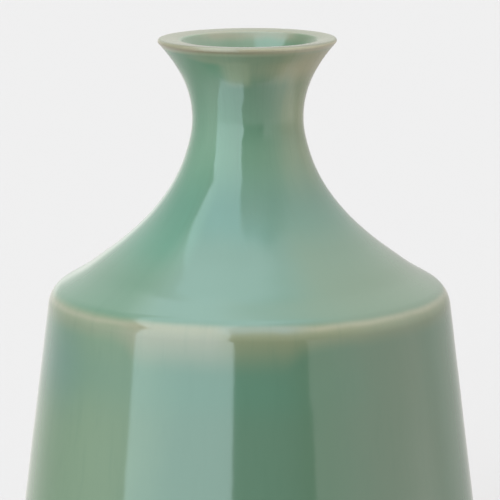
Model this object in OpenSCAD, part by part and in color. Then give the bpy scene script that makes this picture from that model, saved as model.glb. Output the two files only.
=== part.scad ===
// Celadon sake bottle (tokkuri): a stoneware body luted together from five
// thrown and turned sections, covered by three glaze coats.
// Millimetres, +Z up, origin at the centre of the foot ring's resting face.

/* [Mouth and neck] */
// Outer radius of the everted lip
lip_r = 16.8; // [14:0.2:19]
// Radius of the opening at the inner edge of the lip
mouth_r = 13.2; // [12:0.1:13.6]
// Outer radius at the narrowest part of the neck
throat_r = 10.5; // [9.6:0.1:12]
// Height of the lip above the narrowest part of the neck
neck_h = 15.2; // [13:0.2:20]
// Rounding radius of the outer edge of the lip
lip_edge = 0.5; // [0.3:0.05:0.8]
// How fast the outside of the mouth flares, as a power of the height
flare_power = 2.1; // [1.8:0.1:2.6]

/* [Shoulder] */
// Drop from the narrowest part of the neck to the corner of the shoulder
shoulder_h = 32.6; // [28:0.2:40]
// Radius at the corner of the shoulder
crest_r = 37.9; // [34:0.1:42]
// Rounding radius of the corner of the shoulder
crest_round = 5.2; // [4.6:0.1:5.6]

/* [Body and foot] */
// Height of the shoulder corner above the table
body_h = 78.2; // [60:0.2:100]
// Radius that the wall gains for each millimetre it drops
taper = 0.128; // [0.06:0.002:0.16]
// Rounding radius of the heel, where the wall turns under
heel_round = 3; // [2:0.1:4]
// Height of the foot ring
foot_h = 3; // [2:0.1:4]
// Gap between the heel and the foot ring, measured along the underside
foot_inset = 0.6; // [0.4:0.1:2]
// Width of the foot ring where it meets the body
foot_w = 4; // [3:0.1:5]

/* [Thicknesses] */
// Full thickness of the wall and shoulder, clay and both glazes
wall_t = 3.85; // [3.4:0.05:4]
// Full thickness of the neck, clay and both glazes
neck_t = 3.45; // [3:0.05:3.8]
// Thickness of the floor, clay and inner glaze
floor_t = 4.8; // [4:0.1:6]
// Thickness of the outer glaze on the flat runs
glaze_t = 0.45; // [0.3:0.05:0.55]
// Thickness of the outer glaze where it thins over an edge
thin_t = 0.25; // [0.15:0.05:0.3]
// Thickness of the liner glaze inside
liner_t = 0.4; // [0.25:0.05:0.5]
// Thickness of the glaze on the underside, inside the foot ring
well_t = 0.35; // [0.2:0.05:0.5]

/* [Hidden] */
$fn = 160;

glaze_col = [0.50, 0.64, 0.55];
liner_col = [0.60, 0.72, 0.64];
clay_col  = [0.78, 0.69, 0.56];

height   = body_h + shoulder_h + neck_h;
throat_z = body_h + shoulder_h;
bore_r   = throat_r - neck_t;
floor_z  = foot_h + floor_t;
lean     = atan(taper);                       // the wall's angle from vertical

// Shape of the shoulder between the throat [0, 0] and the corner [1, 1]:
// share of the drop, share of the radius gained.
SWEEP = [[0, 0], [0.21, 0.049], [0.39, 0.148], [0.56, 0.30],
         [0.70, 0.475], [0.82, 0.661], [0.905, 0.807], [1, 1]];

// --- small helpers on 2D points -------------------------------------------
function unit(v) = v / norm(v);
function left(v) = [-v[1], v[0]];
function reversed(p) = [for (i = [len(p) - 1 : -1 : 0]) p[i]];
function part(p, a, b) = [for (i = [a : b]) p[i]];
function mix(a, b, t) = a + (b - a) * t;
function arc(c, r, a0, a1, n) =
    [for (i = [0 : n]) let (a = mix(a0, a1, i / n)) c + r * [cos(a), sin(a)]];

// Unit normal at point i of an open line, on the left of its direction
function normal_at(p, i) =
    let (n = len(p),
         a = i > 0 ? left(unit(p[i] - p[i - 1])) : undef,
         b = i < n - 1 ? left(unit(p[i + 1] - p[i])) : undef)
    a == undef ? b : b == undef ? a : unit(a + b);

// --- outer radius of the wall and inner radius of the cavity ---------------
function wall_r(z)   = crest_r + taper * (body_h - z);
function cavity_r(z) = wall_r(z) - wall_t / cos(lean);

// --- heel: tangent to the underside and to the wall -------------------------
heel_c = [wall_r(foot_h + heel_round) - heel_round / cos(lean), foot_h + heel_round];
heel   = arc(heel_c, heel_round, -90, lean, 9);

// --- shoulder sweep as a cubic through the SWEEP shares ---------------------
last  = len(SWEEP) - 1;
steps = 6;
function tilt(i) =
    i == 0 ? 0 :
    i >= last - 1 ? (SWEEP[last][1] - SWEEP[last - 1][1]) / (SWEEP[last][0] - SWEEP[last - 1][0]) :
    (SWEEP[i + 1][1] - SWEEP[i - 1][1]) / (SWEEP[i + 1][0] - SWEEP[i - 1][0]);
function cubic(y0, m0, y1, m1, h, u) =
    (2*u*u*u - 3*u*u + 1) * y0 + (u*u*u - 2*u*u + u) * h * m0
    + (3*u*u - 2*u*u*u) * y1 + (u*u*u - u*u) * h * m1;
// Throat first, ending at the last share before the corner
sweep = [for (i = [0 : last - 2]) for (k = [0 : steps - 1])
            let (u = k / steps, h = SWEEP[i + 1][0] - SWEEP[i][0])
            [throat_r + (crest_r - throat_r) * cubic(SWEEP[i][1], tilt(i), SWEEP[i + 1][1], tilt(i + 1), h, u),
             throat_z - shoulder_h * (SWEEP[i][0] + u * h)]];
sweep_end = [throat_r + (crest_r - throat_r) * SWEEP[last - 1][1],
             throat_z - shoulder_h * SWEEP[last - 1][0]];

// --- rounded corner of the shoulder -----------------------------------------
corner    = [crest_r, body_h];
down      = unit(corner - sweep_end);         // along the end of the shoulder
fall      = atan2(down[0], -down[1]);         // its angle from vertical
cut       = crest_round * tan((fall - lean) / 2);
crest_c   = corner + cut * [sin(lean), -cos(lean)] - crest_round * [cos(lean), sin(lean)];
crest_n   = 8;
crest     = arc(crest_c, crest_round, lean, fall, crest_n);
shoulder_line = reversed(concat(sweep, [sweep_end]));   // from low to high

// --- mouth --------------------------------------------------------------------
flare_a = 44;
lip_c   = [lip_r - lip_edge, height - lip_edge];
lip_in  = lip_c + lip_edge * [cos(flare_a), -sin(flare_a)];
flare_n = 14;
flare   = [for (i = [1 : flare_n - 1]) let (s = i / flare_n)
              [throat_r + (lip_in[0] - throat_r) * pow(s, flare_power), mix(throat_z, lip_in[1], s)]];
lip_out = arc(lip_c, lip_edge, -flare_a, 90, 8);
// The top of the lip falls a little towards the mouth, then rounds over
rim_drop = 0.25;
rim_rnd  = 0.8;
rim_a    = 140;
rim_c    = [mouth_r + 0.06, height - rim_drop - rim_rnd];
rim_top  = arc(rim_c, rim_rnd, 94, rim_a, 6);
rim_end  = rim_top[len(rim_top) - 1];
crown    = [for (t = [0.33, 0.67]) mix(lip_out[len(lip_out) - 1], rim_top[0], t) + [0, 0.07]];
in_power = 2.1;
in_n     = 14;
in_flare = [for (i = [in_n - 1 : -1 : 0]) let (s = i / in_n)
               [bore_r + (rim_end[0] - bore_r) * pow(s, in_power), mix(throat_z, rim_end[1], s)]];

// --- inside: the shoulder and its corner, offset by the wall's thickness -----
outer_run = concat(crest, shoulder_line);     // from the crest up to the throat
run_n     = len(outer_run);
function thick(i) = mix(wall_t, neck_t, max(0, min(1, (i - crest_n) / (run_n - 1 - crest_n))));
inner_run = [for (i = [run_n - 2 : -1 : 0]) outer_run[i] + thick(i) * normal_at(outer_run, i)];

// --- inside: wall, floor corner and floor -----------------------------------
floor_round = 6;
floor_c = [cavity_r(floor_z + floor_round) - floor_round / cos(lean), floor_z + floor_round];
in_heel = arc(floor_c, floor_round, lean, -90, 9);

// Seam between the wall and the shoulder, below the corner
seam_z  = body_h - cut - 1.4;
seam_in = seam_z - 1.6;

// --- the finished surface, from the heel over the lip to the floor's centre ---
surface = concat(
    heel,
    [[wall_r(seam_z), seam_z]],
    outer_run,
    flare, lip_out, crown, rim_top, in_flare,
    inner_run,
    [[cavity_r(seam_in), seam_in]],
    in_heel,
    [[0, floor_z]]);

i_line  = 2;                                   // glaze line on the heel
i_seam  = len(heel);                           // outer seam point
i_crest = i_seam + 1 + crest_n / 2;            // middle of the shoulder's corner
i_thr   = i_seam + run_n;                      // throat
i_lip   = i_thr + len(flare) + 5;              // outer edge of the lip
i_mouth = i_thr + len(flare) + len(lip_out) + len(crown) + len(rim_top);
i_dip   = i_mouth + 7;                         // where the outer glaze ends inside the mouth
i_bore  = i_mouth + len(in_flare);             // throat, inside
i_sin   = i_bore + len(inner_run) + 1;         // inner seam point
i_floor = i_sin + len(in_heel);                // end of the floor's rounding
n_all   = len(surface);

// Glaze depth at point i: nothing at the glaze line, thin over the edges
function near(i, k, w) = max(0, 1 - abs(i - k) / w);
function depth(i) =
    i <= i_line ? 0 :
    i < i_line + 5 ? glaze_t * (i - i_line) / 5 :
    i < i_dip ? glaze_t - (glaze_t - thin_t) * max(near(i, i_crest, 6), min(1, 1.6 * near(i, i_lip + 5, 14)))
    : liner_t;

clay = [for (i = [0 : n_all - 1])
           i == n_all - 1 ? [0, floor_z - liner_t]
           : surface[i] + depth(i) * normal_at(surface, i)];

// A stepped joint from an outer to an inner point
function step_joint(o, i, s = 0.5) = let (m = mix(o[0], i[0], s)) [[m, o[1]], [m, i[1]]];

// Seam between the shoulder and the neck
i_no = i_thr - 14;
i_ni = i_bore + 13;
// Seam between the base disc and the wall
disc_r  = clay[i_floor][0] - 0.2;
disc_z  = foot_h + floor_t / 2;
// Key between the foot ring and the body
ring_r  = heel_c[0] - foot_inset;
key_r   = ring_r - foot_w / 2;
key_w   = 1.4;
key_h   = 0.8;

module revolve(p) { rotate_extrude() polygon(p); }

// Bare turned ring that the bottle stands on, keyed into the underside
module foot_ring() {
    color(clay_col) revolve([
        [ring_r - foot_w, foot_h], [ring_r - foot_w + 0.5, 0.5], [ring_r - foot_w + 1.0, 0],
        [ring_r - 1.0, 0], [ring_r - 0.5, 0.5], [ring_r, foot_h],
        [key_r + key_w / 2, foot_h], [key_r + key_w / 2, foot_h + key_h],
        [key_r - key_w / 2, foot_h + key_h], [key_r - key_w / 2, foot_h]]);
}

// Slab that closes the bottom, rebated into the wall
module base_disc() {
    top = clay[i_floor][1];
    color(clay_col) revolve([
        [0, foot_h], [disc_r, foot_h], [disc_r, disc_z], [disc_r - 2.2, disc_z],
        [disc_r - 2.2, top], [0, top]]);
}

// Tapered wall with its heel, from the base disc to the seam under the shoulder
module body_wall() {
    top = clay[i_floor][1];
    color(clay_col) revolve(concat(
        part(clay, 0, i_seam),
        step_joint(clay[i_seam], clay[i_sin]),
        part(clay, i_sin, i_floor),
        [[disc_r - 2.2, top], [disc_r - 2.2, disc_z], [disc_r, disc_z], [disc_r, foot_h],
         [key_r - key_w / 2, foot_h], [key_r - key_w / 2, foot_h + key_h],
         [key_r + key_w / 2, foot_h + key_h], [key_r + key_w / 2, foot_h]]));
}

// Hollow shoulder, from the seam over the corner up to the neck
module shoulder() {
    color(clay_col) revolve(concat(
        part(clay, i_seam, i_no),
        step_joint(clay[i_no], clay[i_ni]),
        part(clay, i_ni, i_sin),
        reversed(step_joint(clay[i_seam], clay[i_sin]))));
}

// Neck with its flared mouth and lip
module neck() {
    color(clay_col) revolve(concat(
        part(clay, i_no, i_ni),
        reversed(step_joint(clay[i_no], clay[i_ni]))));
}

// Celadon over the outside, the lip and the first few millimetres of the mouth
module outer_glaze() {
    color(glaze_col) revolve(concat(
        part(surface, i_line, i_dip), reversed(part(clay, i_line + 1, i_dip))));
}

// Liner glaze poured over the inside, from the mouth to the floor
module inner_glaze() {
    color(liner_col) revolve(concat(
        part(surface, i_dip, n_all - 1), reversed(part(clay, i_dip, n_all - 1))));
}

// Thin glaze on the underside, inside the foot ring
module foot_well_glaze() {
    color(glaze_col) revolve([
        [0, foot_h - well_t], [ring_r - foot_w - 0.7, foot_h - well_t],
        [ring_r - foot_w - 0.45, foot_h - well_t * 0.6], [ring_r - foot_w - 0.4, foot_h], [0, foot_h]]);
}

foot_ring();
base_disc();
body_wall();
shoulder();
neck();
inner_glaze();
outer_glaze();
foot_well_glaze();
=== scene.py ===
import math

import bpy
import numpy as np
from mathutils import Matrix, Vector


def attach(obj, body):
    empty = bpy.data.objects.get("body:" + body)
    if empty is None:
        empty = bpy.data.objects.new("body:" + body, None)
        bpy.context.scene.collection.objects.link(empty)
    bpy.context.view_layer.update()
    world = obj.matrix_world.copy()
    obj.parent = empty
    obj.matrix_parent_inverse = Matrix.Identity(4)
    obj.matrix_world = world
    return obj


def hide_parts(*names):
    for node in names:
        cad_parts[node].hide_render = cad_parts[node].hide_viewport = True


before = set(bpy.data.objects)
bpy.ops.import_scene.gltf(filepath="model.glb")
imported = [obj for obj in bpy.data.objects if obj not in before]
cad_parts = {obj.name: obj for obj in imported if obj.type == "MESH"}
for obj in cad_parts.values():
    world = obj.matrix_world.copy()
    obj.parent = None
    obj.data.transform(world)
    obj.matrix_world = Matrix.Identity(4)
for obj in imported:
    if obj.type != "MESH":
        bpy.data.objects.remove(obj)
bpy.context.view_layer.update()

scene = bpy.context.scene
PI = math.pi

# ----------------------------------------------------------------------------
# The profile, in millimetres: the same rules as the CAD source, sampled finely.
# ----------------------------------------------------------------------------
LIP_R, MOUTH_R, THROAT_R, NECK_H, LIP_EDGE, FLARE_POWER = 16.8, 13.2, 10.5, 15.2, 0.5, 2.1
SHOULDER_H, CREST_R, CREST_ROUND = 32.6, 37.9, 5.2
BODY_H, TAPER, HEEL_ROUND, FOOT_H, FOOT_INSET, FOOT_W = 78.2, 0.128, 3.0, 3.0, 0.6, 4.0
WALL_T, NECK_T, FLOOR_T, GLAZE_T, THIN_T, LINER_T, WELL_T = 3.85, 3.45, 4.8, 0.45, 0.25, 0.4, 0.35
HEIGHT, THROAT_Z, FLOOR_Z = BODY_H + SHOULDER_H + NECK_H, BODY_H + SHOULDER_H, FOOT_H + FLOOR_T
BORE_R = THROAT_R - NECK_T
LEAN = math.atan(TAPER)
SWEEP = [(0, 0), (0.21, 0.049), (0.39, 0.148), (0.56, 0.30), (0.70, 0.475), (0.82, 0.661), (0.905, 0.807), (1, 1)]


def wall_r(z):
    return CREST_R + TAPER * (BODY_H - z)


def cavity_r(z):
    return wall_r(z) - WALL_T / math.cos(LEAN)


def arc(c, r, a0, a1, n):
    a = np.radians(np.linspace(a0, a1, n + 1))
    return np.stack([c[0] + r * np.cos(a), c[1] + r * np.sin(a)], 1)


def unit(v):
    v = np.asarray(v, float)
    return v / np.linalg.norm(v)


def sweep_points(steps):
    last = len(SWEEP) - 1
    h = [SWEEP[i][0] for i in range(last + 1)]
    r = [SWEEP[i][1] for i in range(last + 1)]

    def tilt(i):
        if i == 0:
            return 0.0
        if i >= last - 1:
            return (r[last] - r[last - 1]) / (h[last] - h[last - 1])
        return (r[i + 1] - r[i - 1]) / (h[i + 1] - h[i - 1])

    out = []
    for i in range(last - 1):
        w = h[i + 1] - h[i]
        for k in range(steps):
            u = k / steps
            y = ((2 * u**3 - 3 * u**2 + 1) * r[i] + (u**3 - 2 * u**2 + u) * w * tilt(i)
                 + (3 * u**2 - 2 * u**3) * r[i + 1] + (u**3 - u**2) * w * tilt(i + 1))
            out.append((THROAT_R + (CREST_R - THROAT_R) * y, THROAT_Z - SHOULDER_H * (h[i] + u * w)))
    out.append((THROAT_R + (CREST_R - THROAT_R) * r[last - 1], THROAT_Z - SHOULDER_H * h[last - 1]))
    return np.array(out)


def resample(line, step):
    """The same line with points at most step apart, evenly along each stretch."""
    out = [line[0]]
    for a, b in zip(line[:-1], line[1:]):
        n = max(1, int(math.ceil(np.linalg.norm(b - a) / step)))
        for k in range(1, n + 1):
            out.append(a + (b - a) * k / n)
    return np.array(out)


def normals(p):
    """Unit normals of an open line, on the left of its direction."""
    d = np.gradient(p, axis=0)
    d /= np.maximum(np.linalg.norm(d, axis=1), 1e-9)[:, None]
    return np.stack([-d[:, 1], d[:, 0]], 1)


heel_c = (wall_r(FOOT_H + HEEL_ROUND) - HEEL_ROUND / math.cos(LEAN), FOOT_H + HEEL_ROUND)
lean_deg = math.degrees(LEAN)
heel = arc(heel_c, HEEL_ROUND, -90, lean_deg, 24)
sweep = sweep_points(8)
corner = np.array([CREST_R, BODY_H])
down = unit(corner - sweep[-1])
fall = math.degrees(math.atan2(down[0], -down[1]))
cut = CREST_ROUND * math.tan(math.radians((fall - lean_deg) / 2))
crest_c = corner + cut * np.array([math.sin(LEAN), -math.cos(LEAN)]) - CREST_ROUND * np.array([math.cos(LEAN), math.sin(LEAN)])
crest = arc(crest_c, CREST_ROUND, lean_deg, fall, 20)
shoulder_line = sweep[::-1]

flare_a = 44
lip_c = (LIP_R - LIP_EDGE, HEIGHT - LIP_EDGE)
lip_in = np.array([lip_c[0] + LIP_EDGE * math.cos(math.radians(flare_a)), lip_c[1] - LIP_EDGE * math.sin(math.radians(flare_a))])
s = np.linspace(0, 1, 41)[1:-1]
flare = np.stack([THROAT_R + (lip_in[0] - THROAT_R) * s**FLARE_POWER, THROAT_Z + (lip_in[1] - THROAT_Z) * s], 1)
lip_out = arc(lip_c, LIP_EDGE, -flare_a, 90, 14)
rim_drop, rim_rnd, rim_a = 0.25, 0.8, 140
rim_c = (MOUTH_R + 0.06, HEIGHT - rim_drop - rim_rnd)
rim_top = arc(rim_c, rim_rnd, 94, rim_a, 10)
rim_end = rim_top[-1]
t = np.linspace(0, 1, 8)[1:-1]
crown = lip_out[-1] + (rim_top[0] - lip_out[-1]) * t[:, None] + np.stack([0 * t, 0.3 * t * (1 - t)], 1)
s = np.linspace(1, 0, 41)[1:]
in_flare = np.stack([BORE_R + (rim_end[0] - BORE_R) * s**2.1, THROAT_Z + (rim_end[1] - THROAT_Z) * s], 1)

outer_run = np.concatenate([crest, shoulder_line])
nrm = normals(outer_run)
share = np.clip((np.arange(len(outer_run)) - 20) / (len(outer_run) - 21), 0, 1)
thick = WALL_T + (NECK_T - WALL_T) * share
inner_run = (outer_run + thick[:, None] * nrm)[:-1][::-1]
floor_round = 6
floor_c = (cavity_r(FLOOR_Z + floor_round) - floor_round / math.cos(LEAN), FLOOR_Z + floor_round)
in_heel = arc(floor_c, floor_round, lean_deg, -90, 16)

outside = np.concatenate([heel, outer_run, flare, lip_out, crown, rim_top])
inside = np.concatenate([in_flare, inner_run, in_heel, [[0.0, FLOOR_Z]]])
SURFACE = np.concatenate([outside, inside])

# ----------------------------------------------------------------------------
# Handmade irregularity: how an ideal point of the profile moves on this pot.
# ----------------------------------------------------------------------------
SEG = 256


def smooth(a, b, x):
    t = np.clip((x - a) / (b - a), 0, 1)
    return t * t * (3 - 2 * t)


def wave(az, z, seed, terms=9, az_top=4, z_len=26.0):
    """A smooth periodic wobble over azimuth and height, about 1 in amplitude."""
    rng = np.random.default_rng(seed)
    out = np.zeros(np.broadcast(az, z).shape)
    for _ in range(terms):
        k = rng.integers(0, az_top + 1)
        m = rng.normal() / z_len * 2 * PI * 0.6
        out = out + rng.normal() * np.cos(k * az + m * z + rng.uniform(0, 2 * PI)) / (1 + 0.4 * k)
    return out / math.sqrt(terms)


def mid_r(z):
    """Radius of the middle of the wall in the flare of the neck."""
    return 8.8 + 6 * np.clip((z - 111) / 15, 0, None) ** 1.8


def handmade(r, z, az):
    """Ideal (r, z) in mm at azimuth az (radians, counter-clockwise from +X) to a point in metres."""
    body = smooth(2, 14, z)
    dr = 0.035 * wave(az, z, 3) * body
    dr = dr + 0.02 * wave(az, z, 8, az_top=2, z_len=9.0) * body * (1 - smooth(108, 122, z))
    x, y = (r + dr) * np.cos(az), (r + dr) * np.sin(az)
    above = ((z - 80.0) + np.sqrt((z - 80.0) ** 2 + 9.0)) / 2 * smooth(68, 84, z)
    x2 = x - 0.0086 * above                              # the neck leans a little
    x2 = x2 + 0.42 * smooth(1.2, -1.2, r - mid_r(z)) * smooth(114, 124, z)      # the mouth is off centre
    z2 = z + (0.0065 * x + 0.009 * y + 0.05 * wave(az, 0 * z, 5, az_top=3)) * smooth(110, 122, z)
    return np.stack([x2, y, z2], -1) / 1000


def new_object(name, verts, faces, smooth_shade=True, sharp_deg=None):
    me = bpy.data.meshes.new(name)
    me.from_pydata([tuple(v) for v in verts], [], faces)
    me.validate()
    me.update()
    ob = bpy.data.objects.new(name, me)
    scene.collection.objects.link(ob)
    if smooth_shade:
        me.shade_smooth()
    if sharp_deg:
        me.set_sharp_from_angle(angle=math.radians(sharp_deg))
    return ob


def revolve(name, line, seg=SEG, closed=True, shape=handmade, sharp_deg=None):
    """A watertight solid of revolution from a polygon (r, z), counter-clockwise seen with r to the right.
    Points on the axis become one shared vertex."""
    line = np.asarray(line, float)
    az = np.linspace(0, 2 * PI, seg, endpoint=False)
    rings, verts = [], []
    for r, z in line:
        if r < 1e-6:
            p = shape(np.array([0.0]), np.array([z]), np.array([0.0]))
            rings.append([len(verts)])
            verts.append(p[0])
        else:
            p = shape(np.full(seg, r), np.full(seg, z), az)
            rings.append(list(range(len(verts), len(verts) + seg)))
            verts.extend(p)
    faces = []
    n = len(rings)
    for i in range(n if closed else n - 1):
        a, b = rings[i], rings[(i + 1) % n]
        if len(a) == 1 and len(b) == 1:
            continue
        for k in range(seg):
            j = (k + 1) % seg
            if len(a) == 1:
                faces.append((a[0], b[j], b[k]))
            elif len(b) == 1:
                faces.append((a[k], a[j], b[0]))
            else:
                faces.append((a[k], a[j], b[j], b[k]))
    return new_object(name, verts, faces, sharp_deg=sharp_deg)


# ----------------------------------------------------------------------------
# Where each coat and each clay section begins and ends along the surface
# ----------------------------------------------------------------------------
N_HEEL = len(heel)
I_LINE = 5                       # glaze line on the heel
SEAM_Z = BODY_H - cut - 1.4
outside_fine = resample(outside[I_LINE:], 0.9)
inside_all = np.concatenate([outside[-1:], inside])
split = int(np.argmin(np.abs(in_flare[:, 1] - 118.13)))
mouth_part = inside_all[: split + 2]
liner_part = resample(inside_all[split + 1:], 1.6)
coat_line = np.concatenate([outside_fine, mouth_part[1:]])


def arc_length(p):
    return np.concatenate([[0], np.cumsum(np.linalg.norm(np.diff(p, axis=0), axis=1))])


def offset_in(p, depth):
    return p + depth[:, None] * normals(p)


s_coat = arc_length(coat_line)
s_crest = s_coat[int(np.argmin(np.abs(coat_line[:, 1] - (BODY_H - 1.2)) + 9 * (coat_line[:, 1] > 80)))]
s_lip = s_coat[int(np.argmin(np.linalg.norm(coat_line - np.array([LIP_R, HEIGHT - LIP_EDGE]), axis=1)))]
s_in = s_coat[int(np.argmin(np.linalg.norm(coat_line - np.array(rim_end), axis=1)))]
depth = np.full(len(coat_line), GLAZE_T)
depth -= (GLAZE_T - THIN_T) * np.exp(-((s_coat - s_crest) / 2.0) ** 2)
depth -= (GLAZE_T - THIN_T) * np.where(s_coat < s_lip, np.exp(-((s_coat - s_lip) / 2.0) ** 2),
                                       np.where(s_coat > s_in, np.exp(-((s_coat - s_in) / 2.0) ** 2), 1.0))
depth *= smooth(-0.3, 1.6, s_coat)
depth[0] = 0.0
end = smooth(s_coat[-1] - 3, s_coat[-1], s_coat)
depth = depth * (1 - end) + LINER_T * end
coat_back = offset_in(coat_line, depth)
# a thick roll of glaze where the coat stops above the foot
roll = 0.22 * np.exp(-((s_coat - 1.5) / 0.9) ** 2)
coat_front = coat_line - roll[:, None] * normals(coat_line)
coat_front[0] = coat_line[0]

liner_back = offset_in(liner_part, np.full(len(liner_part), LINER_T))
liner_back[0] = coat_back[-1]
liner_back[-1] = [0.0, FLOOR_Z - LINER_T]

outer_glaze = revolve("glaze_outer", np.concatenate([coat_front, coat_back[1:][::-1]]))
inner_glaze = revolve("glaze_liner", np.concatenate([liner_part, liner_back[::-1]]), seg=160)

ring_r = heel_c[0] - FOOT_INSET
key_r = ring_r - FOOT_W / 2
in_r = ring_r - FOOT_W


def foot_shape(r, z, az):
    return handmade(r, z, az)


foot_line = np.array([
    [in_r, FOOT_H], [in_r + 0.35, 1.3], [in_r + 0.55, 0.45], [in_r + 0.8, 0.1], [in_r + 1.1, 0],
    [in_r + 2.0, 0], [ring_r - 1.1, 0], [ring_r - 0.75, 0.1], [ring_r - 0.45, 0.5], [ring_r - 0.2, 1.4], [ring_r, FOOT_H],
    [key_r + 0.7, FOOT_H], [key_r + 0.7, FOOT_H + 0.8], [key_r - 0.7, FOOT_H + 0.8], [key_r - 0.7, FOOT_H]])
foot = revolve("foot_ring_turned", foot_line, shape=foot_shape, sharp_deg=50)

disc_r, disc_z, clay_top = in_heel[-1][0] - 0.2, FOOT_H + FLOOR_T / 2, FLOOR_Z - LINER_T
disc = revolve("base_slab", [[0, FOOT_H], [disc_r, FOOT_H], [disc_r, disc_z], [disc_r - 2.2, disc_z],
                             [disc_r - 2.2, clay_top], [0, clay_top]], seg=128, sharp_deg=40)

i_seam = int(np.argmin(np.abs(coat_line[:, 1] - SEAM_Z) + 99 * (np.arange(len(coat_line)) > len(coat_line) // 2)))
i_neck = int(np.argmin(np.abs(coat_line[:, 1] - 95.9) + 99 * (s_coat > s_lip)))
j_neck = int(np.argmin(np.abs(liner_part[:, 1] - 95.4)))
j_seam = int(np.argmin(np.abs(liner_part[:, 1] - (SEAM_Z - 1.6))))
j_floor = int(np.argmin(np.linalg.norm(liner_part - in_heel[-1], axis=1)))


def step_joint(o, i):
    m = (o[0] + i[0]) / 2
    return np.array([[m, o[1]], [m, i[1]]])


o_seam, i_seam_p = coat_back[i_seam], liner_back[j_seam]
o_neck, i_neck_p = coat_back[i_neck], liner_back[j_neck]
wall = revolve("wall_clay", np.concatenate([
    heel[:I_LINE], coat_back[: i_seam + 1], step_joint(o_seam, i_seam_p), liner_back[j_seam: j_floor + 1],
    [[disc_r - 2.2, clay_top], [disc_r - 2.2, disc_z], [disc_r, disc_z], [disc_r, FOOT_H],
     [key_r - 0.7, FOOT_H], [key_r - 0.7, FOOT_H + 0.8], [key_r + 0.7, FOOT_H + 0.8], [key_r + 0.7, FOOT_H]]]), seg=192, sharp_deg=40)
shoulder = revolve("shoulder_clay", np.concatenate([
    coat_back[i_seam: i_neck + 1], step_joint(o_neck, i_neck_p), liner_back[j_neck: j_seam + 1],
    step_joint(o_seam, i_seam_p)[::-1]]), seg=128, sharp_deg=40)
neck = revolve("neck_clay", np.concatenate([
    coat_back[i_neck:], liner_back[1: j_neck + 1], step_joint(o_neck, i_neck_p)[::-1]]), seg=128, sharp_deg=40)
well = revolve("glaze_foot_well", [
    [0, FOOT_H - WELL_T], [in_r * 0.5, FOOT_H - WELL_T], [in_r - 1.6, FOOT_H - WELL_T], [in_r - 0.8, FOOT_H - WELL_T * 0.8],
    [in_r - 0.45, FOOT_H - WELL_T * 0.4], [in_r - 0.35, FOOT_H], [0, FOOT_H]], seg=128, sharp_deg=60)


# ----------------------------------------------------------------------------
# Node helpers
# ----------------------------------------------------------------------------
class V:
    """A value in a node tree, so that shader maths can be written as sums and products."""

    def __init__(self, tree, out):
        self.tree, self.out = tree, out

    def _math(self, op, *args, clamp=False):
        n = self.tree.nodes.new("ShaderNodeMath")
        n.operation, n.use_clamp = op, clamp
        for i, a in enumerate((self,) + args):
            if isinstance(a, V):
                self.tree.links.new(a.out, n.inputs[i])
            else:
                n.inputs[i].default_value = float(a)
        return V(self.tree, n.outputs[0])

    def __add__(self, o): return self._math("ADD", o)
    def __radd__(self, o): return self._math("ADD", o)
    def __sub__(self, o): return self._math("SUBTRACT", o)
    def __rsub__(self, o): return (self * -1) + o
    def __mul__(self, o): return self._math("MULTIPLY", o)
    def __rmul__(self, o): return self._math("MULTIPLY", o)
    def __truediv__(self, o): return self._math("DIVIDE", o)
    def __neg__(self): return self * -1
    def pow(self, e): return self._math("POWER", e)
    def sqrt(self): return self._math("SQRT")
    def abs(self): return self._math("ABSOLUTE")
    def max(self, o): return self._math("MAXIMUM", o)
    def min(self, o): return self._math("MINIMUM", o)
    def sin(self): return self._math("SINE")
    def cos(self): return self._math("COSINE")
    def asin(self): return self._math("ARCSINE")
    def exp(self): return self._math("EXPONENT")
    def atan2(self, o): return self._math("ARCTAN2", o)
    def clamp(self): return self._math("ADD", 0.0, clamp=True)

    def step(self, a, b):
        """Smoothly 0 to 1 as the value goes from a to b; a may be above b."""
        n = self.tree.nodes.new("ShaderNodeMapRange")
        n.interpolation_type = "SMOOTHSTEP"
        self.tree.links.new(self.out, n.inputs["Value"])
        lo, hi = (a, b) if a < b else (b, a)
        n.inputs["From Min"].default_value, n.inputs["From Max"].default_value = lo, hi
        n.inputs["To Min"].default_value, n.inputs["To Max"].default_value = (0, 1) if a < b else (1, 0)
        return V(self.tree, n.outputs["Result"])

    def bump(self, centre, width):
        """1 at centre, falling to 0 as a bell of that half width."""
        t = (self - centre) / width
        return (-(t * t)).exp()


def combine(tree, x, y, z):
    n = tree.nodes.new("ShaderNodeCombineXYZ")
    for i, a in enumerate((x, y, z)):
        if isinstance(a, V):
            tree.links.new(a.out, n.inputs[i])
        else:
            n.inputs[i].default_value = float(a)
    return V(tree, n.outputs[0])


def split_xyz(tree, out):
    n = tree.nodes.new("ShaderNodeSeparateXYZ")
    tree.links.new(out, n.inputs[0])
    return [V(tree, n.outputs[i]) for i in range(3)]


def noise(tree, vec, scale, detail=2.0, rough=0.5, seed=0.0, lac=2.0):
    n = tree.nodes.new("ShaderNodeTexNoise")
    n.noise_dimensions = "4D"
    tree.links.new(vec.out, n.inputs["Vector"])
    n.inputs["Scale"].default_value = scale
    n.inputs["Detail"].default_value = detail
    n.inputs["Roughness"].default_value = rough
    n.inputs["Lacunarity"].default_value = lac
    n.inputs["W"].default_value = seed
    return V(tree, n.outputs["Fac"])


def mix(tree, a, b, fac):
    """Colour a to colour b by fac. A colour is three numbers or a V."""
    n = tree.nodes.new("ShaderNodeMix")
    n.data_type = "RGBA"
    n.clamp_factor = True
    for sock, c in ((n.inputs[6], a), (n.inputs[7], b)):
        if isinstance(c, V):
            tree.links.new(c.out, sock)
        else:
            sock.default_value = (*c, 1.0)
    if isinstance(fac, V):
        tree.links.new(fac.out, n.inputs[0])
    else:
        n.inputs[0].default_value = fac
    return V(tree, n.outputs[2])


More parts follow.
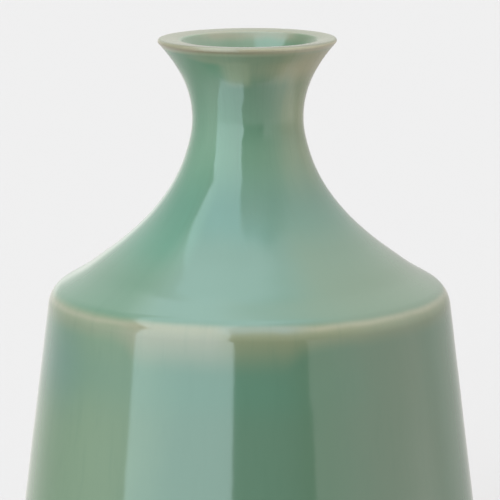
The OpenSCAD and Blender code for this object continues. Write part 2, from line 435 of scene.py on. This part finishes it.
def new_material(name, **sockets):
    m = bpy.data.materials.new(name)
    m.use_nodes = True
    tree = m.node_tree
    bsdf = next(n for n in tree.nodes if n.type == "BSDF_PRINCIPLED")
    for k, v in sockets.items():
        bsdf.inputs[k.replace("_", " ")].default_value = v
    tc = tree.nodes.new("ShaderNodeTexCoord")
    pos = V(tree, tc.outputs["Object"])
    return m, tree, bsdf, pos


def srgb(r, g, b):
    def f(c):
        c /= 255
        return c / 12.92 if c <= 0.04045 else ((c + 0.055) / 1.055) ** 2.4
    return (f(r), f(g), f(b))


def bump_normal(tree, bsdf, height, strength, distance):
    n = tree.nodes.new("ShaderNodeBump")
    n.inputs["Strength"].default_value = strength
    n.inputs["Distance"].default_value = distance
    tree.links.new(height.out, n.inputs["Height"])
    tree.links.new(n.outputs[0], bsdf.inputs["Normal"])


# ----------------------------------------------------------------------------
# Glaze: a green glass over pale clay. Where it lies thick it is blue-green, where it
# thins over an edge the clay shows through as cream and tan.
# The tones are fixed to the pot. Most of their values were worked back from the photo's
# colours at sample points and rounded, and some only even out render against photo.
# Some tones are painted light: a highlight along the shoulder's edge, and a lightening and a reflection streak on the
# flare of the lip.
# ----------------------------------------------------------------------------


def celadon(name):
    m, tree, bsdf, pos = new_material(name, Roughness=0.09, IOR=1.5)
    x, y, z = split_xyz(tree, pos.out)
    x, y, z = x * 1000, y * 1000, z * 1000                    # millimetres
    az = y.atan2(x)                                            # radians from +X
    ca, sa = az.cos(), az.sin()
    r = (x * x + y * y).sqrt()
    # mottling that runs down the wall: stretched in height
    streak = combine(tree, ca * 30, sa * 30, z * 0.35)
    n_mid = noise(tree, streak, 0.13, 2.0, 0.5, 4.1)
    n_run = noise(tree, combine(tree, ca * 34, sa * 34, z * 0.12), 0.9, 3.0, 0.6, 7.7)
    n_fine = noise(tree, combine(tree, x, y, z * 0.6), 0.5, 3.0, 0.55, 2.3)
    mid = ((z - 111) / 15).max(0).pow(1.8) * 6 + 8.8           # middle of the neck's wall
    wob = n_mid - 0.5
    zz = z + wob * 1.0
    lx = -ca                                                   # 1 at -X, -1 at +X
    left = (lx + wob * 0.3).step(0.2, 0.72)
    right = (ca + wob * 0.3).step(0.1, 0.75)
    far_left = lx.step(0.72, 0.9)
    front = (-sa).step(0, 0.2)
    # body
    c = mix(tree, (0.077, 0.134, 0.088), (0.115, 0.168, 0.103), left)
    c = mix(tree, c, (0.088, 0.130, 0.087), right)
    c = mix(tree, c, (0.087, 0.140, 0.097), (ca + wob * 0.2).step(0.75, 0.95))
    c = mix(tree, c, (0.092, 0.156, 0.104), left * zz.bump(68, 6) * 0.85)
    c = mix(tree, c, (0.092, 0.156, 0.120), (far_left * zz.bump(68, 8) * 0.8).clamp())
    c = mix(tree, c, (0.062, 0.142, 0.096), zz.bump(67, 5) * (1 - left) * (1 - right) * 0.4)
    c = mix(tree, c, (0.066, 0.120, 0.072), ca.bump(0.32, 0.12) * 0.6)
    # shoulder and neck
    sh = mix(tree, (0.066, 0.122, 0.081), (0.056, 0.127, 0.090), zz.step(88, 94))
    low_left = (lx + wob * 0.1).step(0.38, 0.68)
    sh = mix(tree, sh, (0.089, 0.152, 0.103), low_left)
    sh = mix(tree, sh, (0.078, 0.162, 0.112), low_left * zz.step(83, 90))
    sh = mix(tree, sh, (0.070, 0.115, 0.072), right * zz.step(90, 82))
    c = mix(tree, c, sh, z.step(76, 80))
    nk = mix(tree, (0.106, 0.192, 0.125), (0.094, 0.170, 0.110), (ca + wob * 0.3).step(-0.7, -0.2))
    nk = mix(tree, nk, mix(tree, (0.135, 0.178, 0.110), (0.172, 0.205, 0.118), zz.step(107, 113)), (ca + wob * 0.3).step(0.3, 0.95))
    c = mix(tree, c, nk, zz.step(95, 106))
    # thinner, paler and warmer glaze under the flare of the lip, partly painted light: the paler tone also brightens
    # where the flare reflects the darker shoulder, and a painted reflection streak lies on its front
    cw = ca + wob * 0.25
    pale = mix(tree, (0.096, 0.188, 0.116), (0.165, 0.212, 0.137), (cw + zz.step(122, 123.6) * 0.4).step(-0.5, -0.05))
    pale = mix(tree, pale, (0.258, 0.250, 0.150), (cw - zz.step(122, 123.4) * 0.15).step(0.0, 0.8))
    c = mix(tree, c, pale, zz.step(117.5, 121.5))
    # painted reflection: a pale streak on the front of the flare that carries the soft box's reflection band on up
    # towards the lip
    painted_reflection_streak = cw.step(-0.44, -0.22) * cw.step(0.08, -0.04) * front * zz.step(117.4, 119.8) * zz.step(123.4, 122.4)
    c = mix(tree, c, (0.200, 0.240, 0.154), painted_reflection_streak * 0.85)
    c = mix(tree, c, (0.235, 0.254, 0.168), z.step(123.9, 124.5) * (r - mid).step(0, 0.4) * 0.9)
    # thinner and warmer glaze just under the shoulder's edge, fading downwards, and a line along the edge that is
    # partly tan thin glaze, partly painted highlight
    edge_z = x * 0.011 + 77.7
    near_left = lx.step(0.04, 0.2)
    fade = ((edge_z - zz) * (1 + 0.8 * ca.step(0.15, 0.35) + lx.step(0.5, 0.66))).step(8.5, 0)
    under = mix(tree, (0.156, 0.164, 0.096), (0.194, 0.190, 0.128), near_left)
    under = mix(tree, under, (0.134, 0.155, 0.096), (ca + wob * 0.3).step(0.35, 0.8))
    under = mix(tree, under, (0.160, 0.178, 0.114), lx.step(0.5, 0.66))
    c = mix(tree, c, under, fade * z.step(78.9, 77.5))
    # painted highlight: over the middle span of the shoulder's edge, on its +X half, the line is a pale blue-grey
    # that stands for the sky's reflection on the edge; on the -X half and outside the middle span it is the tan of
    # glaze thinned over the edge
    middle = lx.step(0.64, 0.5) * ca.step(0.35, 0.15)
    line = mix(tree, (0.160, 0.195, 0.165), (0.196, 0.184, 0.120), near_left)
    d = (zz - edge_z - 0.1) / 0.72
    c = mix(tree, c, line, ((-(d * d)).exp() * middle * (0.7 + wob * 0.8)).clamp())
    d = (zz - edge_z) / 0.48
    c = mix(tree, c, (0.24, 0.22, 0.155), ((-(d * d)).exp() * (1 - middle) * (0.42 + 0.1 * left + wob * 0.6)).clamp())
    # mouth and lip
    inner = mix(tree, (0.094, 0.148, 0.093), (0.070, 0.118, 0.066), cw.step(0.6, 0.85))
    inner = mix(tree, inner, (0.152, 0.150, 0.098), zz.step(123.7, 125.4) * cw.step(-1.0, -0.5) * (1 - 0.6 * cw.step(0.6, 0.85)))
    c = mix(tree, c, inner, (mid - r).step(-0.3, 0.3))
    c = mix(tree, c, mix(tree, (0.126, 0.132, 0.084), (0.100, 0.102, 0.066), (-sa).step(0.3, 0.8)), z.step(125.0, 125.5) * (r - mid).step(-1.8, -1.0))
    lip_line = (r + wob * 0.2).step(15.6, 16.1) * z.step(124.4, 124.9) * z.step(125.9, 125.5)
    c = mix(tree, c, mix(tree, (0.220, 0.190, 0.122), (0.322, 0.296, 0.204), cw.step(-0.2, 0.55)), lip_line * (0.9 + wob * 0.4))
    c = mix(tree, c, (0.055, 0.11, 0.07), ((n_run - 0.5) * 0.5).clamp())
    tree.links.new(c.out, bsdf.inputs["Base Color"])
    rough = zz.step(117.5, 121) * ((r - mid).step(-0.2, 0.2)).max(z.step(124.4, 125.2)) * 0.17 + zz.bump(80.2, 1.7) * 0.06 + 0.09
    tree.links.new(rough.out, bsdf.inputs["Roughness"])
    bump_normal(tree, bsdf, n_fine * (zz.step(84, 100) * 0.9 + 0.35), 0.1, 0.0002)
    return m


def liner_glaze(name):
    m, tree, bsdf, pos = new_material(name, Roughness=0.12, IOR=1.5)
    x, y, z = split_xyz(tree, pos.out)
    n = noise(tree, combine(tree, x * 1000, y * 1000, z * 600), 0.12, 3.0, 0.55, 5.2)
    c = mix(tree, (0.085, 0.138, 0.084), (0.108, 0.158, 0.100), (n * 2 - 0.5).clamp())
    tree.links.new(c.out, bsdf.inputs["Base Color"])
    bump_normal(tree, bsdf, n, 0.05, 0.0002)
    return m


glaze_mat = celadon("celadon")
liner_mat = liner_glaze("celadon_liner")


def clay(name):
    m, tree, bsdf, pos = new_material(name, Roughness=0.85, IOR=1.45)
    x, y, z = split_xyz(tree, pos.out)
    r = (x * x + y * y).sqrt()
    p = combine(tree, x * 1000, y * 1000, z * 1000)
    grain = noise(tree, p, 2.2, 4.0, 0.6, 0.4)
    rings = noise(tree, combine(tree, r * 1000, 0.0, z * 1000), 2.5, 2.0, 0.6, 3.0)
    c = mix(tree, srgb(196, 168, 132), srgb(170, 138, 104), (grain * 1.6 - 0.3).clamp())
    tree.links.new(c.out, bsdf.inputs["Base Color"])
    bump_normal(tree, bsdf, grain * 0.5 + rings * 0.5, 0.35, 0.0004)
    return m


clay_mat = clay("bare_clay")

PIECES = [(outer_glaze, "outer_glaze", "celadon_glaze", glaze_mat), (inner_glaze, "inner_glaze", "liner_glaze", liner_mat),
          (well, "foot_well_glaze", "liner_glaze", liner_mat), (foot, "foot_ring", "bare_clay", clay_mat),
          (disc, "base_disc", "bare_clay", clay_mat), (wall, "body_wall", "bare_clay", clay_mat),
          (shoulder, "shoulder", "bare_clay", clay_mat), (neck, "neck", "bare_clay", clay_mat)]
for ob, node, slot_name, mat in PIECES:
    ob.data.materials.append(mat)
    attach(ob, "root")
    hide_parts(node)

# ----------------------------------------------------------------------------
# Floor, light and camera
# ----------------------------------------------------------------------------
bpy.ops.mesh.primitive_plane_add(size=40, location=(0, 0, 0))
floor = bpy.context.object
floor.name = "floor"
floor.visible_glossy = False
fm, ft, fb, fpos = new_material("floor", Roughness=0.9)
fb.inputs["Base Color"].default_value = (0.398, 0.364, 0.355, 1)
fb.inputs["Specular IOR Level"].default_value = 0.0
floor.data.materials.append(fm)

world = bpy.data.worlds.new("studio")
scene.world = world
world.use_nodes = True
wt = world.node_tree
wt.nodes.clear()
tc = wt.nodes.new("ShaderNodeTexCoord")
dx, dy, dz = split_xyz(wt, tc.outputs["Generated"])
DEG = 180 / PI
A = (-dx).atan2(-dy) * DEG            # degrees to the left of the camera's side
E = dz.asin() * DEG                   # degrees above the horizon
Aa = A.abs()
up = (E / 85).clamp()
# The pattern was tuned until the reflections fell where the photo has them.
# Left: a tall soft box whose top leans back over the pot, and a dim wall beyond it.
lim = (E - 34).max(0).pow(1.19) * 1.14 + 66.2
edge = ((A - (E.abs().step(3, 12) * 3.0 + E.step(30, 60) * 3.6 + 8.3 - 3 * E.step(-24, -40))) / (E.step(35, 70) * 12 + 0.8)).step(-0.5, 0.5)
side = edge * ((lim - A) / (E.step(20, 60) * 14 + 1.4)).step(-0.5, 0.5) * E.step(-68, -60)
boxy = side.max(E.step(45, 71)).max(E.step(45, 59) * Aa.step(125, 145) * 0.95)
dim = 0.65 + 0.85 * Aa.step(118, 70) * E.step(28, 4) + 0.3 * Aa.step(120, 150) + 0.4 * Aa.step(145, 165) * E.bump(2.5, 4.5)
tone = 4.2 - 0.9 * E.step(-3, -14) - 0.6 * Aa.step(60, 92) * E.bump(54, 14)
L_left = dim + boxy * (tone - dim)
# Right: a grey card, brighter towards the top. Between them the dark room behind the camera.
L_right = 1.3 + up * (0.9 + 1.3 * Aa.step(45, 90) - 0.5 * Aa.step(110, 150))
L_right = L_right - (0.45 * Aa.step(98, 120) + 0.15 * Aa.step(120, 150)) * E.step(60, 0)
far = (E + 0.5).abs().step(2.5, 15)
room = (Aa + E.step(-0.3, 1.4) * 2).step(34.8, 33.4)
room = room + far * (Aa.step(85, 5) - room)
L_right = L_right + room * (0.1 + up.pow(1.6) * 3.7 - L_right)
L_right = L_right + 0.65 * E.step(-3, -12) * Aa.step(125, 95)              # the floor
behind = dy.step(-0.05, 0.25)
left = edge + behind * ((-dx).step(-0.2, 0.2) - edge)
L = L_right + left * (L_left - L_right)
L = L + E.step(74, 86) * (4.1 - L)
cool = (left * boxy).max(E.step(60, 80))
light = combine(wt, L * (1.03 - 0.18 * cool), L * (1.0 + 0.03 * cool), L * (0.97 + 0.14 * cool))
bg = wt.nodes.new("ShaderNodeBackground")
wt.links.new(light.out, bg.inputs["Color"])
plain = wt.nodes.new("ShaderNodeBackground")
plain.inputs["Strength"].default_value = 0.86
lp = wt.nodes.new("ShaderNodeLightPath")
mixer = wt.nodes.new("ShaderNodeMixShader")
wt.links.new(lp.outputs["Is Camera Ray"], mixer.inputs[0])
wt.links.new(bg.outputs[0], mixer.inputs[1])
wt.links.new(plain.outputs[0], mixer.inputs[2])
wo = wt.nodes.new("ShaderNodeOutputWorld")
wt.links.new(mixer.outputs[0], wo.inputs["Surface"])
world.cycles.sampling_method = "MANUAL"
world.cycles.sample_map_resolution = 1024

cam_data = bpy.data.cameras.new("camera")
cam = bpy.data.objects.new("camera", cam_data)
scene.collection.objects.link(cam)
scene.camera = cam
cam_data.sensor_width = 36
cam_data.lens = 201.3
cam_data.clip_start, cam_data.clip_end = 0.01, 100
PITCH, DIST, LOOK_Z = math.radians(10.43), 0.5312, 0.08551
cam.location = (0.00016, -DIST * math.cos(PITCH), LOOK_Z + DIST * math.sin(PITCH))
cam.rotation_euler = (PI / 2 - PITCH, 0, 0)

scene.view_settings.view_transform = "Standard"
scene.view_settings.look = "None"
scene.view_settings.exposure = 0
scene.view_settings.gamma = 1
